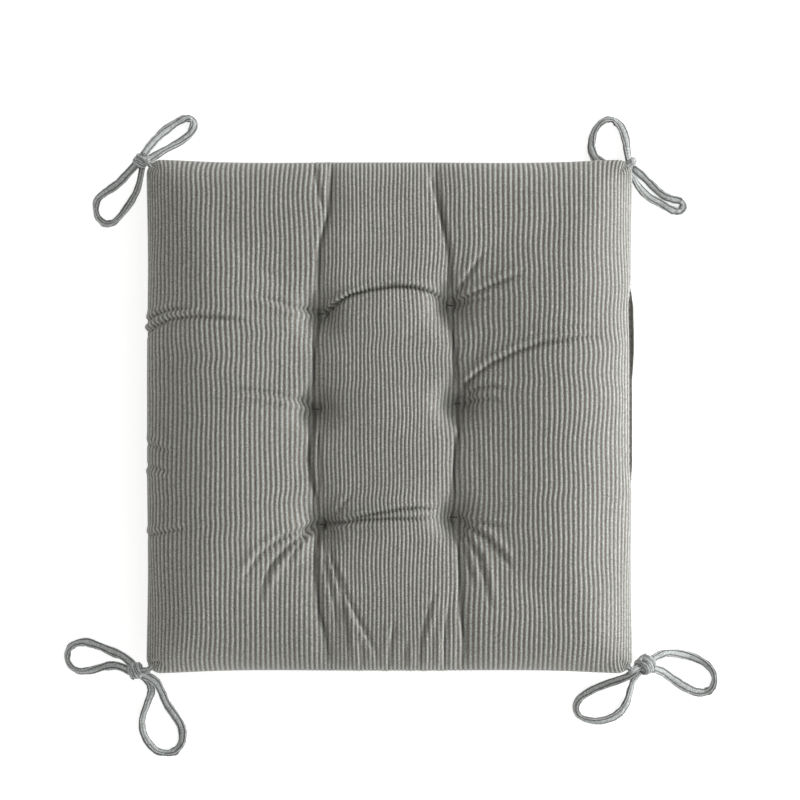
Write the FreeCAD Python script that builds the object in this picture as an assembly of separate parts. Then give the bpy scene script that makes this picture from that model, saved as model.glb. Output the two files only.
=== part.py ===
"""Chair seat pad: a square corduroy cover of two panels round a fibre filling, pulled in by six
tufts, with a knotted bow of strap at each corner. Millimetres, +Z up, +Y towards the chair's back.
The origin is the middle of the underside, on the surface that the pad lies on."""
import FreeCAD, Part
import math
import os

# --- Pad ------------------------------------------------------------------------------------------
pad_width = 400.0           # X, side to side at the seam
pad_depth = 420.0           # Y, front to back at the seam
pad_height = 62.0           # Z, at the crests between the tufts
edge_radius = 28.0          # roll of the sides, above and below the seam
corner_radius = 16.0        # rounding of the corners, seen from above
corner_spread = 3.0         # how far that rounding's own square stands outside the pad's
cloth = 1.6                 # thickness of the corduroy
seam_allowance = 9.0        # width of the turned-in edges, sewn together at the seam

# --- Tufts ----------------------------------------------------------------------------------------
tufts = {
    "back_left": (-56.5, 84.5),
    "back_right": (50.0, 91.5),
    "middle_left": (-60.5, 6.0),
    "middle_right": (56.0, 10.5),
    "front_left": (-55.0, -89.0),
    "front_right": (53.5, -83.0),
}
top_pit_depth = 24.0
top_pit_reach = 30.0        # radius of the dimple where it meets the crest
bottom_pit_depth = 10.0
bottom_pit_reach = 22.0
tuft_thread_radius = 0.5
tuft_stitch = 4.0           # length of the tack that shows in a dimple
tuft_bend = 1.0             # bend of the thread at each end of the tack
tuft_knot_radius = 1.6      # knot of the thread, in the underside's dimple

# --- Seams ----------------------------------------------------------------------------------------
seam_thread_radius = 0.4
seam_inset = 4.0            # the seam's thread lies this far inside the edge
seam_corner_radius = 9.0
opening_length = 168.0      # the stuffing opening in the right side, sewn shut by hand
opening_middle = 25.0       # its middle, along Y
closing_pitch = 7.0         # from stitch to stitch
closing_loop_radius = 1.7
closing_thread_radius = 0.3
stitch_clearance = 0.05     # round every thread

# --- Ties -----------------------------------------------------------------------------------------
strap_radius = 2.25         # a strap of folded corduroy, as a round tube
anchor_length = 15.0        # sewn-in end of the strap, from the corner inwards
anchor_width = 8.0
anchor_thickness = 2.0
seat_gap = 0.3              # from the pad to what swings beside it
knot_depth = 1.5            # how far a strap runs into its knot

# Every corner has its knot and two loops. Points are (x, y) from the corner of the pad's outline
# and z above the surface that the pad lies on.
ties = {
    "back_left": {
        "corner": (-1, 1),
        "knot": (-5.5, 1.5, 25.0),
        "knot_radius": 6.0,
        "stem": [],
        "loops": {
            "back": [
                (-4.1, 6.0, 24.0), (0.5, 14.0, 18.0), (8.0, 23.5, 9.0), (18.5, 32.5, 3.4),
                (29.0, 39.0, 2.4), (36.0, 38.0, 2.4), (37.5, 31.0, 2.4), (31.0, 22.5, 2.8),
                (20.5, 15.5, 8.0), (10.0, 9.5, 16.0), (-0.9, 1.9, 22.8),
            ],
            "left": [
                (-9.6, -0.9, 24.0), (-17.0, -8.0, 17.5), (-26.0, -16.5, 9.0), (-36.0, -22.5, 3.4),
                (-44.0, -28.5, 2.4), (-45.5, -39.0, 2.4), (-41.0, -48.5, 2.4), (-31.5, -50.0, 2.4),
                (-22.5, -40.5, 2.9), (-14.5, -30.0, 6.5), (-8.0, -18.5, 13.0), (-4.9, -3.0, 22.0),
            ],
        },
    },
    "back_right": {
        "corner": (1, 1),
        "knot": (-1.0, -2.0, 5.6),
        "knot_radius": 5.5,
        "stem": [(2.4, 2.2, 24.0), (2.0, 1.6, 15.0)],
        "loops": {
            "back": [
                (-0.6, 2.3, 5.2), (-1.7, 10.0, 3.4), (-2.6, 20.0, 2.4), (-5.5, 30.0, 2.4),
                (-12.5, 38.0, 2.4), (-22.5, 37.0, 2.4), (-30.0, 27.0, 2.4), (-32.5, 14.5, 2.4),
                (-28.5, 4.5, 2.4), (-19.0, 0.0, 2.6), (-11.5, -3.2, 3.4), (-5.4, -2.4, 5.2),
            ],
            "right": [
                (3.2, -3.4, 5.4), (10.0, -8.5, 3.4), (18.5, -17.0, 2.4), (27.0, -25.5, 2.4),
                (36.0, -29.0, 2.4), (43.5, -30.5, 2.4), (45.5, -35.0, 2.4), (42.0, -39.5, 2.4),
                (35.0, -38.0, 2.4), (26.5, -32.5, 2.4), (17.0, -28.0, 2.4), (9.0, -20.5, 2.6),
                (3.8, -12.5, 3.6), (-0.6, -6.4, 5.0),
            ],
        },
    },
    "front_left": {
        "corner": (-1, -1),
        "knot": (-10.0, -0.5, 24.0),
        "knot_radius": 7.0,
        "stem": [],
        "loops": {
            "left": [
                (-12.9, 4.3, 22.0), (-19.5, 10.5, 16.5), (-31.0, 14.0, 8.0), (-44.0, 19.5, 3.2),
                (-57.0, 23.0, 2.4), (-68.0, 17.0, 2.4), (-69.5, 5.0, 2.4), (-61.0, -3.0, 2.4),
                (-48.0, -2.0, 3.0), (-35.0, 2.5, 7.5), (-24.0, 3.0, 14.5), (-15.4, -1.0, 21.5),
            ],
            "front": [
                (-4.9, -3.6, 23.5), (5.0, -7.5, 19.5), (10.0, -17.5, 12.0), (14.0, -30.0, 5.0),
                (22.5, -41.5, 2.4), (28.0, -51.5, 2.4), (27.0, -64.0, 2.4), (17.5, -72.0, 2.4),
                (5.0, -69.5, 2.4), (-4.5, -58.0, 2.4), (-7.5, -44.5, 2.6), (-2.5, -30.5, 4.4),
                (2.5, -18.5, 9.0), (0.0, -9.0, 14.5), (-8.4, -3.9, 19.2),
            ],
        },
    },
    "front_right": {
        "corner": (1, -1),
        "knot": (12.0, 4.5, 23.0),
        "knot_radius": 8.0,
        "stem": [],
        "loops": {
            "right": [
                (17.6, 8.6, 22.0), (25.5, 13.5, 17.0), (37.5, 13.0, 8.5), (51.5, 10.0, 3.2),
                (65.0, 4.0, 2.4), (72.0, -6.5, 2.4), (69.5, -18.0, 2.4), (59.0, -21.5, 2.4),
                (46.5, -16.0, 2.8), (35.0, -8.0, 6.5), (25.5, -0.5, 14.0), (17.8, 1.1, 21.0),
            ],
            "front": [
                (5.4, 2.4, 23.0), (0.5, -5.0, 17.0), (-9.0, -9.5, 9.5), (-21.0, -13.5, 4.2),
                (-34.0, -19.5, 2.4), (-44.5, -27.5, 2.4), (-44.5, -38.5, 2.4), (-34.0, -44.0, 2.4),
                (-20.5, -44.0, 2.4), (-8.0, -38.5, 2.4), (-1.5, -28.0, 2.8), (0.5, -17.0, 6.5),
                (3.0, -7.5, 12.5), (9.5, 0.3, 18.0),
            ],
        },
    },
}

# --- Worked out -----------------------------------------------------------------------------------
seam_z = pad_height / 2
margin = 50.0               # tools reach this far past the pad
up = FreeCAD.Vector(0, 0, 1)
across = FreeCAD.Vector(1, 0, 0)
along = FreeCAD.Vector(0, 1, 0)
origin = FreeCAD.Vector(0, 0, 0)
seam_centre = FreeCAD.Vector(0, 0, seam_z)


def rounded_outline(half_u, half_v, radius, centre, u, v):
    """Closed wire of a rectangle with rounded corners, in the plane of u and v."""
    def at(a, b):
        return centre + u * a + v * b

    edges = []
    bow = radius * math.sqrt(0.5)
    for turn in range(4):
        su, sv = [(1, 1), (-1, 1), (-1, -1), (1, -1)][turn]
        nu, nv = [(-1, 1), (-1, -1), (1, -1), (1, 1)][turn]
        side = (half_u, sv * (half_v - radius)) if turn % 2 == 0 else (su * (half_u - radius), half_v)
        mid_u, mid_v = su * (half_u - radius), sv * (half_v - radius)
        on_u = at(su * half_u, mid_v)
        on_v = at(mid_u, sv * half_v)
        first, last = (on_u, on_v) if turn % 2 == 0 else (on_v, on_u)
        edges.append(Part.Arc(first, at(mid_u + su * bow, mid_v + sv * bow), last).toShape())
        next_u, next_v = nu * (half_u - radius), nv * (half_v - radius)
        start = at(next_u, nv * half_v) if turn % 2 == 0 else at(nu * half_u, next_v)
        edges.append(Part.LineSegment(last, start).toShape())
    return Part.Wire(Part.__sortEdges__(edges))


def prism(wire, direction, length):
    """Solid of a closed wire, the same length to both sides of its plane."""
    face = Part.Face(wire)
    face.translate(direction * (-length / 2))
    return face.extrude(direction * length)


def block(low, high):
    """Box between two corners."""
    size = high - low
    return Part.makeBox(size.x, size.y, size.z, low)


def pillow(inset):
    """The pad's outer shape, drawn in by inset all round, with its tuft dimples."""
    half_w = pad_width / 2 - inset
    half_d = pad_depth / 2 - inset
    half_h = pad_height / 2 - inset
    roll = edge_radius - inset
    rolled_x = prism(rounded_outline(half_w, half_h, roll, seam_centre, across, up), along,
                     pad_depth + margin)
    rolled_y = prism(rounded_outline(half_d, half_h, roll, seam_centre, along, up), across,
                     pad_width + margin)
    corners = prism(rounded_outline(half_w + corner_spread, half_d + corner_spread,
                                    corner_radius - inset, seam_centre, across, along), up,
                    pad_height + margin)
    solid = rolled_x.common(rolled_y).common(corners)
    for x, y in tufts.values():
        solid = solid.cut(dimple(x, y, pad_height, 1, top_pit_depth, top_pit_reach, inset))
        solid = solid.cut(dimple(x, y, 0, -1, bottom_pit_depth, bottom_pit_reach, inset))
    return solid


def dimple(x, y, z, side, depth, reach, inset):
    """Ball that presses a dimple of this depth and reach into the face at z."""
    radius = (reach ** 2 + depth ** 2) / (2 * depth)
    return Part.makeSphere(radius + inset, FreeCAD.Vector(x, y, z + side * (radius - depth)))


def rounded_path(points):
    """Straight runs joined by tangent arcs, each as large as its two runs allow. Returns the wire
    and the arcs' radii."""
    edges = []
    radii = []
    last = points[0]
    for before, corner, after in zip(points, points[1:], points[2:]):
        back = before - corner
        ahead = after - corner
        turn = math.pi - back.getAngle(ahead)
        cut = 0.45 * min(back.Length, ahead.Length)
        radii.append(cut / math.tan(turn / 2))
        back.normalize()
        ahead.normalize()
        begin = corner + back * cut
        end = corner + ahead * cut
        middle = (back + ahead).normalize()
        reach = radii[-1] * (1 / math.cos(turn / 2) - 1)
        edges.append(Part.LineSegment(last, begin).toShape())
        edges.append(Part.Arc(begin, corner + middle * reach, end).toShape())
        last = end
    edges.append(Part.LineSegment(last, points[-1]).toShape())
    return Part.Wire(edges), radii


def tube(wire, radius):
    """Round tube along a wire."""
    first = wire.OrderedEdges[0]
    start = first.valueAt(first.FirstParameter)
    direction = first.tangentAt(first.FirstParameter)
    if (start - wire.OrderedVertexes[0].Point).Length > 1e-6:
        start = wire.OrderedVertexes[0].Point
        direction = direction * -1
    ring = Part.Wire(Part.makeCircle(radius, start, direction))
    return wire.makePipeShell([ring], True, False)


def save(name, shape):
    """Writes one node and prints its size."""
    solids = shape.Solids
    shape = solids[0] if len(solids) == 1 else Part.makeCompound(solids)
    shape.exportStep(f"parts/{name}.step")
    print(f"{name}: {len(solids)} solid(s), {shape.Volume / 1000:.3f} cm3, valid {shape.isValid()}")


def tuft_thread(x, y, extra):
    """Loop of thread through the pad, with a tack in each dimple."""
    radius = tuft_thread_radius
    top = pad_height - top_pit_depth + radius + stitch_clearance
    bottom = bottom_pit_depth - radius - stitch_clearance
    centre = FreeCAD.Vector(x, y, (top + bottom) / 2)
    wire = rounded_outline(tuft_stitch / 2, (top - bottom) / 2, tuft_bend, centre, across, up)
    return tube(wire, radius + extra)


def tuft_knot(x, y):
    """Knot of a tuft's thread, below the cloth in the underside's dimple."""
    z = bottom_pit_depth - tuft_knot_radius - stitch_clearance
    return Part.makeSphere(tuft_knot_radius, FreeCAD.Vector(x, y, z))


def seam_thread(extra):
    """Thread of the machine-sewn seam, round the pad from one end of the opening to the other."""
    half_w = pad_width / 2 - seam_inset
    half_d = pad_depth / 2 - seam_inset
    r = seam_corner_radius
    bow = r * math.sqrt(0.5)
    first = FreeCAD.Vector(half_w, opening_middle + opening_length / 2, seam_z)
    final = FreeCAD.Vector(half_w, opening_middle - opening_length / 2, seam_z)
    edges = []
    last = first
    for sx, sy, begins_on_side in ((1, 1, True), (-1, 1, False), (-1, -1, True), (1, -1, False)):
        mid = FreeCAD.Vector(sx * (half_w - r), sy * (half_d - r), seam_z)
        on_side = FreeCAD.Vector(sx * half_w, mid.y, seam_z)
        on_end = FreeCAD.Vector(mid.x, sy * half_d, seam_z)
        begin, end = (on_side, on_end) if begins_on_side else (on_end, on_side)
        edges.append(Part.LineSegment(last, begin).toShape())
        bend = FreeCAD.Vector(mid.x + sx * bow, mid.y + sy * bow, seam_z)
        edges.append(Part.Arc(begin, bend, end).toShape())
        last = end
    edges.append(Part.LineSegment(last, final).toShape())
    return tube(Part.Wire(edges), seam_thread_radius + extra)


def closing_stitches(extra):
    """Overcast stitches that close the stuffing opening, as a list of rings."""
    count = int(opening_length // closing_pitch) + 1
    x = pad_width / 2 - closing_loop_radius + closing_thread_radius / 3
    first = opening_middle - closing_pitch * (count - 1) / 2
    return [
        Part.makeTorus(closing_loop_radius, closing_thread_radius + extra,
                       FreeCAD.Vector(x, first + closing_pitch * i, seam_z), along)
        for i in range(count)
    ]


def corner_of(tie):
    """The corner of the pad's outline that a tie hangs from, at floor level, and its diagonal."""
    sx, sy = tie["corner"]
    outward = FreeCAD.Vector(sx, sy, 0).normalize()
    return FreeCAD.Vector(sx * pad_width / 2, sy * pad_depth / 2, 0), outward


def anchor(tie, outer):
    """Sewn-in end of a tie's strap, between the two seam allowances, flush with the corner."""
    corner, outward = corner_of(tie)
    angle = math.degrees(math.atan2(outward.y, outward.x))
    tab = block(FreeCAD.Vector(-anchor_length, -anchor_width / 2, -anchor_thickness / 2),
                FreeCAD.Vector(margin, anchor_width / 2, anchor_thickness / 2))
    tab.rotate(origin, up, angle)
    tab.translate(corner + up * seam_z)
    return tab.common(outer)


def tie_stem(tie):
    """Strap from the corner's seam to the knot. Its round end turns in place at the seam."""
    corner, _ = corner_of(tie)
    pivot = corner + up * seam_z
    knot = corner + FreeCAD.Vector(*tie["knot"])
    points = [pivot] + [corner + FreeCAD.Vector(*point) for point in tie["stem"]]
    towards = (points[-1] - knot).normalize()
    points.append(knot + towards * (tie["knot_radius"] - knot_depth))
    wire, _ = rounded_path(points)
    return tube(wire, strap_radius - seat_gap).fuse(Part.makeSphere(strap_radius - seat_gap, pivot))


def tie_loop(name, tie, points):
    """One loop of a bow, a closed bight of strap that starts and ends in the knot."""
    corner, _ = corner_of(tie)
    wire, radii = rounded_path([corner + FreeCAD.Vector(*point) for point in points])
    shape = tube(wire, strap_radius)
    expected = math.pi * strap_radius ** 2 * wire.Length
    print(f"{name}: length {wire.Length:.0f}, smallest radius {min(radii):.1f}, radii",
          [round(radius, 1) for radius in radii], f"volume/expected {shape.Volume / expected:.4f}")
    return shape


def main():
    os.makedirs("parts", exist_ok=True)
    outer = pillow(0)
    inner = pillow(cloth)
    reach = FreeCAD.Vector(pad_width / 2 + margin, pad_depth / 2 + margin, 0)
    inside = FreeCAD.Vector(pad_width / 2 - cloth - seam_allowance,
                            pad_depth / 2 - cloth - seam_allowance, 0)
    band = up * cloth
    allowances = block(seam_centre - reach - band, seam_centre + reach + band).cut(
        block(seam_centre - inside - band * 2, seam_centre + inside + band * 2))
    cavity = inner.cut(allowances)
    cover = outer.cut(cavity)
    height = up * (pad_height + margin)
    upper = block(seam_centre - reach, seam_centre + reach + height)
    lower = block(seam_centre - reach - height, seam_centre + reach)

    anchors = {name: anchor(tie, outer) for name, tie in ties.items()}
    tuft_channels = [tuft_thread(x, y, stitch_clearance) for x, y in tufts.values()]
    seam_channel = seam_thread(stitch_clearance)
    closing_channels = closing_stitches(stitch_clearance)
    cover = cover.cut(list(anchors.values()) + tuft_channels + [seam_channel] + closing_channels)
    save("top_cover", cover.common(upper))
    save("bottom_cover", cover.common(lower))
    save("filling", cavity.cut(list(anchors.values()) + tuft_channels + closing_channels))

    for name, (x, y) in tufts.items():
        save(f"tuft_thread_{name}", tuft_thread(x, y, 0).fuse(tuft_knot(x, y)))
    save("perimeter_seam_thread", seam_thread(0))
    save("closing_seam_thread", Part.makeCompound(closing_stitches(0)))

    for name, tie in ties.items():
        corner, _ = corner_of(tie)
        save(f"tie_anchor_{name}", anchors[name].cut(seam_channel))
        save(f"tie_stem_{name}", tie_stem(tie))
        save(f"tie_knot_{name}",
             Part.makeSphere(tie["knot_radius"], corner + FreeCAD.Vector(*tie["knot"])))
        for side, points in tie["loops"].items():
            node = f"tie_loop_{name}_{side}"
            save(node, tie_loop(node, tie, points))


main()
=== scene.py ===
# %% [markdown]
# # A tufted corduroy seat pad
# The pad is a square cover of ribbed corduroy, sewn from two panels, filled with fibre and pulled in by
# six tufts. A bow of strap is knotted at each corner. The CAD model fixes the sizes and what moves, so
# this script starts by loading it and reads the sizes from its parts' boxes.

# %% Load the frame
import math
import bpy
import numpy as np
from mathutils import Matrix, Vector


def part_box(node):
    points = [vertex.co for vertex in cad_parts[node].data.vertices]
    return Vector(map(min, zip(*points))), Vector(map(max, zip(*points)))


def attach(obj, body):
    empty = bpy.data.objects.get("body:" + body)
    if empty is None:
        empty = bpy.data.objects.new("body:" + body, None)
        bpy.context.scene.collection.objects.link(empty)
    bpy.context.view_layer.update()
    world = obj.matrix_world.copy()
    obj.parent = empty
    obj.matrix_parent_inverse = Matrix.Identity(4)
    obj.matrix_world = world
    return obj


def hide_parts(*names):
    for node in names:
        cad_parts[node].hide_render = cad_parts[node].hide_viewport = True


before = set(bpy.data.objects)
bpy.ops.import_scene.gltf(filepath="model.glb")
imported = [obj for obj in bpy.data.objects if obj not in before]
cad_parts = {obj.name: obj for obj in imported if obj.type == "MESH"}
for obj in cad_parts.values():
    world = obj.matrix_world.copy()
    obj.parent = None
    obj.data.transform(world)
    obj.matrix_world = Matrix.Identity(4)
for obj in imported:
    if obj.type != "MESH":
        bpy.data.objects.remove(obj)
bpy.context.view_layer.update()
MM = 0.001

# %% [markdown]
# The sizes that the soft pieces need come from the CAD nodes. The seam lies where the two covers meet,
# half way up, and the ties hang from the corners of that outline.

# %% Sizes from the frame
bottom_low, bottom_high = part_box("bottom_cover")
top_low, top_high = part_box("top_cover")
HALF_W, HALF_D = top_high.x, top_high.y
PAD_H, SEAM_Z = top_high.z, top_low.z
print(f"pad {HALF_W * 2:.3f} x {HALF_D * 2:.3f} x {PAD_H:.3f} m, seam at {SEAM_Z:.3f} m")

TUFTS = ["back_left", "back_right", "middle_left", "middle_right", "front_left", "front_right"]


def middle_of(node):
    """The middle of a CAD node's box."""
    low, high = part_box(node)
    return (low + high) / 2


tuft_at = {name: middle_of(f"tuft_thread_{name}").xy for name in TUFTS}
TACK_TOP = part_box("tuft_thread_back_left")[1].z - 1.0 * MM
TACK_BOTTOM = 10.0 * MM
print("tufts at", {name: tuple(round(c, 4) for c in xy) for name, xy in tuft_at.items()})

# %% [markdown]
# Looking straight down with a long lens keeps the outline nearly free of perspective, so the sides of the
# pad stay parallel and the roll of the edges shows on all four sides alike.

# %% Camera
CAMERA_HEIGHT = 3.0
VIEW_WIDTH = 661 * MM          # what the picture takes in, side to side, at the height of the seam
AIM = Vector((8.7 * MM, 13.6 * MM, SEAM_Z))
camera_data = bpy.data.cameras.new("camera")
camera_data.lens = camera_data.sensor_width * (CAMERA_HEIGHT - SEAM_Z) / VIEW_WIDTH
camera_data.clip_end = 20
camera = bpy.data.objects.new("camera", camera_data)
camera.location = (AIM.x, AIM.y, CAMERA_HEIGHT)
bpy.context.scene.collection.objects.link(camera)
bpy.context.scene.camera = camera
print(f"camera lens {camera_data.lens:.0f} mm")

# %% [markdown]
# ## The two panels, as cut
# A tufted pad is cut larger than it ends up: each tuft gathers spare cloth, and the filling pushes the
# spare up into crowns. So every point of a panel has two places: where it lies on the flat cloth, and where
# it starts on the pad. The two tables pair the distances, first across and then from front to back.

# %% From flat cloth to pad
ROLL = 28 * MM                 # radius of the rolled sides
FLAT_W, FLAT_D = HALF_W - ROLL, HALF_D - ROLL
ARC = ROLL * math.pi / 2
WALE = 4.2 * MM                # from one rib of the corduroy to the next
CELLS_ACROSS, CELLS_ALONG = 112, 114

cloth_across = np.array([-235, -71, 68, 235]) * MM
pad_across = np.array([-FLAT_W - ARC, -57 * MM, 53 * MM, FLAT_W + ARC])
cloth_along = np.array([-241, -99, 8, 102, 241]) * MM
pad_along = np.array([-FLAT_D - ARC, -86 * MM, 8 * MM, 88 * MM, FLAT_D + ARC])


def roll_over(distance, flat):
    """Place and slope of a point this far from the pad's middle, over the crown and down the roll."""
    angle = np.clip((np.abs(distance) - flat) / ROLL, 0, math.pi / 2)
    place = np.sign(distance) * (np.minimum(np.abs(distance), flat) + ROLL * np.sin(angle))
    return place, np.cos(angle)


def start_shape(a, b, side):
    """Where the points (a, b) of the flat cloth start on the pad. side is 1 for the top, -1 below."""
    x, drop_x = roll_over(np.interp(a, cloth_across, pad_across), FLAT_W)
    y, drop_y = roll_over(np.interp(b, cloth_along, pad_along), FLAT_D)
    height = (PAD_H - SEAM_Z) if side > 0 else SEAM_Z
    z = height * drop_x * drop_y
    depth = (PAD_H - TACK_TOP) if side > 0 else TACK_BOTTOM
    for spot in tuft_at.values():
        z = z - depth * np.exp(-((x - spot.x) ** 2 + (y - spot.y) ** 2) / (16 * MM) ** 2)
    return np.stack([x, y, SEAM_Z + side * z], axis=-1)


a_line = np.linspace(cloth_across[0], cloth_across[-1], CELLS_ACROSS + 1)
b_line = np.linspace(cloth_along[0], cloth_along[-1], CELLS_ALONG + 1)
grid_a, grid_b = np.meshgrid(a_line, b_line)
print(f"cloth {(a_line[-1] - a_line[0]) * 1000:.0f} x {(b_line[-1] - b_line[0]) * 1000:.0f} mm, "
      f"{(a_line[-1] - a_line[0]) / WALE:.0f} wales")


# %% [markdown]
# A grid of points for the top and one for the underside share their rim, which is the seam. One numbering
# serves the rough cloth that is simulated and the fine cloth that is shown.

# %% Closed bag from two grids
def bag_numbers(rows, columns):
    """Vertex numbers of the top and the underside grid. The underside uses the top's rim."""
    top = np.arange(rows * columns).reshape(rows, columns)
    under = top.copy()
    inner = (rows - 2) * (columns - 2)
    under[1:-1, 1:-1] = rows * columns + np.arange(inner).reshape(rows - 2, columns - 2)
    return top, under


def bag_mesh(name, top_points, under_points):
    """Closed mesh of two point grids that meet at the rim, faces outwards."""
    rows, columns = top_points.shape[:2]
    top, under = bag_numbers(rows, columns)
    points = np.concatenate([top_points.reshape(-1, 3), under_points[1:-1, 1:-1].reshape(-1, 3)])
    quads = []
    for grid, order in ((top, (0, 1, 2, 3)), (under, (3, 2, 1, 0))):
        corners = [grid[:-1, :-1], grid[:-1, 1:], grid[1:, 1:], grid[1:, :-1]]
        quads.append(np.stack([corners[k].ravel() for k in order], axis=-1))
    quads = np.concatenate(quads)
    mesh = bpy.data.meshes.new(name)
    mesh.vertices.add(len(points))
    mesh.vertices.foreach_set("co", points.astype(np.float32).ravel())
    mesh.loops.add(quads.size)
    mesh.loops.foreach_set("vertex_index", quads.astype(np.int32).ravel())
    mesh.polygons.add(len(quads))
    mesh.polygons.foreach_set("loop_start", np.arange(0, quads.size, 4, dtype=np.int32))
    mesh.update(calc_edges=True)
    mesh.validate()
    obj = bpy.data.objects.new(name, mesh)
    bpy.context.scene.collection.objects.link(obj)
    return obj


rough = bag_mesh("rough_bag", start_shape(grid_a, grid_b, 1), start_shape(grid_a, grid_b, -1))
top_ids, under_ids = bag_numbers(*grid_a.shape)
print("rough bag:", len(rough.data.vertices), "points,", len(rough.data.polygons), "faces")

# %% [markdown]
# ## Filling the bag
# Pressure stands for the fibre filling. The seam and the points round each tuft are pinned where they
# belong. The cloth's own lengths are those of the flat panels, kept as a second shape, so the spare cloth
# crowns and creases by itself, as it does when a real pad is tufted.

# %% Simulate the cloth
PRESSURE = 3.0
SIM_FRAMES = 26
TUFT_PIN_REACH = 5.6 * MM      # cloth within this of a tuft is drawn in with it
TUFT_GATHER = 0.55

flat_tuft = {
    name: (np.interp(spot.x, pad_across, cloth_across), np.interp(spot.y, pad_along, cloth_along))
    for name, spot in tuft_at.items()
}


def pin_tufts(points, grid_numbers, z):
    """Gathers the cloth round each tuft to its tack, and returns the numbers of those points."""
    held = []
    for name, spot in tuft_at.items():
        da, db = grid_a - flat_tuft[name][0], grid_b - flat_tuft[name][1]
        near = np.hypot(da, db) < TUFT_PIN_REACH
        ids = grid_numbers[near]
        points[ids, 0] = spot.x + da[near] * TUFT_GATHER
        points[ids, 1] = spot.y + db[near] * TUFT_GATHER
        points[ids, 2] = z
        held.append(ids)
    return np.concatenate(held)


def fill_bag():
    """Runs the cloth simulation on the rough bag and returns its points."""
    mesh = rough.data
    points = np.zeros(len(mesh.vertices) * 3)
    mesh.vertices.foreach_get("co", points)
    points = points.reshape(-1, 3)
    pinned = np.concatenate([
        pin_tufts(points, top_ids, TACK_TOP), pin_tufts(points, under_ids, TACK_BOTTOM),
        top_ids[0], top_ids[-1], top_ids[:, 0], top_ids[:, -1],
    ])
    mesh.vertices.foreach_set("co", points.ravel())
    rough.shape_key_add(name="on_the_pad")
    flat = rough.shape_key_add(name="as_cut")
    cut = np.zeros_like(points)
    for ids in (top_ids, under_ids):
        cut[ids.ravel(), 0] = grid_a.ravel()
        cut[ids.ravel(), 1] = grid_b.ravel()
        cut[ids.ravel(), 2] = SEAM_Z
    flat.data.foreach_set("co", cut.ravel())
    group = rough.vertex_groups.new(name="pinned")
    group.add([int(i) for i in np.unique(pinned)], 1.0, "REPLACE")
    cloth = rough.modifiers.new("Cloth", "CLOTH")
    settings = cloth.settings
    settings.quality = 5
    settings.mass = 0.2
    settings.tension_stiffness = 20
    settings.compression_stiffness = 20
    settings.shear_stiffness = 5
    settings.bending_stiffness = 0.6
    settings.air_damping = 1.5
    settings.vertex_group_mass = "pinned"
    settings.rest_shape_key = flat
    settings.use_pressure = True
    settings.uniform_pressure_force = PRESSURE
    settings.effector_weights.gravity = 0
    cloth.collision_settings.use_collision = False
    cloth.point_cache.frame_start = 1
    cloth.point_cache.frame_end = SIM_FRAMES
    scene = bpy.context.scene
    for step in range(1, SIM_FRAMES + 1):
        scene.frame_set(step)
    final = rough.evaluated_get(bpy.context.evaluated_depsgraph_get())
    filled = np.zeros(len(mesh.vertices) * 3)
    final.data.vertices.foreach_get("co", filled)
    scene.frame_set(1)
    return filled.reshape(-1, 3)


filled = fill_bag()
bpy.data.objects.remove(rough)


def calm_corners(points, ids, reach, rounds):
    """Evens out the cloth near the four corners, where the spare cloth is eased into the seam."""
    grid = points[ids]
    far = [np.hypot(grid_a - a, grid_b - b) for a in a_line[[0, -1]] for b in b_line[[0, -1]]]
    near = np.exp(-(np.minimum.reduce(far) / reach) ** 2)[1:-1, 1:-1, None] * 0.9
    for _ in range(rounds):
        mean = (grid[:-2, 1:-1] + grid[2:, 1:-1] + grid[1:-1, :-2] + grid[1:-1, 2:]) / 4
        grid[1:-1, 1:-1] += (mean - grid[1:-1, 1:-1]) * near
    points[ids[1:-1, 1:-1]] = grid[1:-1, 1:-1]


for ids in (top_ids, under_ids):
    calm_corners(filled, ids, 85 * MM, 60)
print("filled bag from", filled.min(0).round(4), "to", filled.max(0).round(4))

# %% [markdown]
# ## From the rough bag to the fine cloth
# The rough bag has one cell per rib. A cubic spline through its points, read along both directions, gives
# a fine grid with five even columns in each rib, and more rows where the folds are.

# %% Read the cloth finely
RIB_STEPS = np.array([0, 0.2, 0.4, 0.6, 0.8])
RIB_RISE = np.array([0, 0.42, 1.0, 1.0, 0.42])
RIB_HEIGHT = 0.9 * MM
CORNER_ROUND = 13 * MM
SHOULDER = 2.5 * MM            # how much fuller the filling stands round a tuft than the rough cloth
ROW_FINE, ROW_COARSE = 1.3 * MM, 2.4 * MM


def smooth_along(values, places):
    """Cubic B-spline through rows of values, read at fractional row numbers."""
    ahead, behind = 2 * values[:1] - values[1:2], 2 * values[-1:] - values[-2:-1]
    padded = np.concatenate([ahead, values, behind])
    low = np.minimum(places.astype(int), len(values) - 2)
    f = (places - low).reshape(-1, *[1] * (values.ndim - 1))
    weights = [(1 - f) ** 3, 3 * f ** 3 - 6 * f ** 2 + 4, -3 * f ** 3 + 3 * f ** 2 + 3 * f + 1, f ** 3]
    return sum(w * padded[low + k] for k, w in enumerate(weights)) / 6


def fine_rows():
    """Row places along the cloth, close together where the folds are."""
    places = [b_line[0]]
    while places[-1] < b_line[-1]:
        folded = min(abs(places[-1] - c) for c in (-95 * MM, 45 * MM, 90 * MM, 115 * MM)) < 24 * MM
        places.append(places[-1] + (ROW_FINE if folded else ROW_COARSE))
    return np.array(places) * (b_line[-1] / places[-1] if places[-1] > 0 else 1)


columns = (np.arange(CELLS_ACROSS)[:, None] + RIB_STEPS).ravel()
columns = np.append(columns, CELLS_ACROSS)
rib_rise = np.append(np.tile(RIB_RISE, CELLS_ACROSS), 0)
rows = fine_rows()
rows[0], rows[-1] = b_line[0], b_line[-1]
row_places = (rows - b_line[0]) / (b_line[1] - b_line[0])
fine_a, fine_b = np.meshgrid(a_line[0] + columns * (a_line[1] - a_line[0]), rows)


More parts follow.
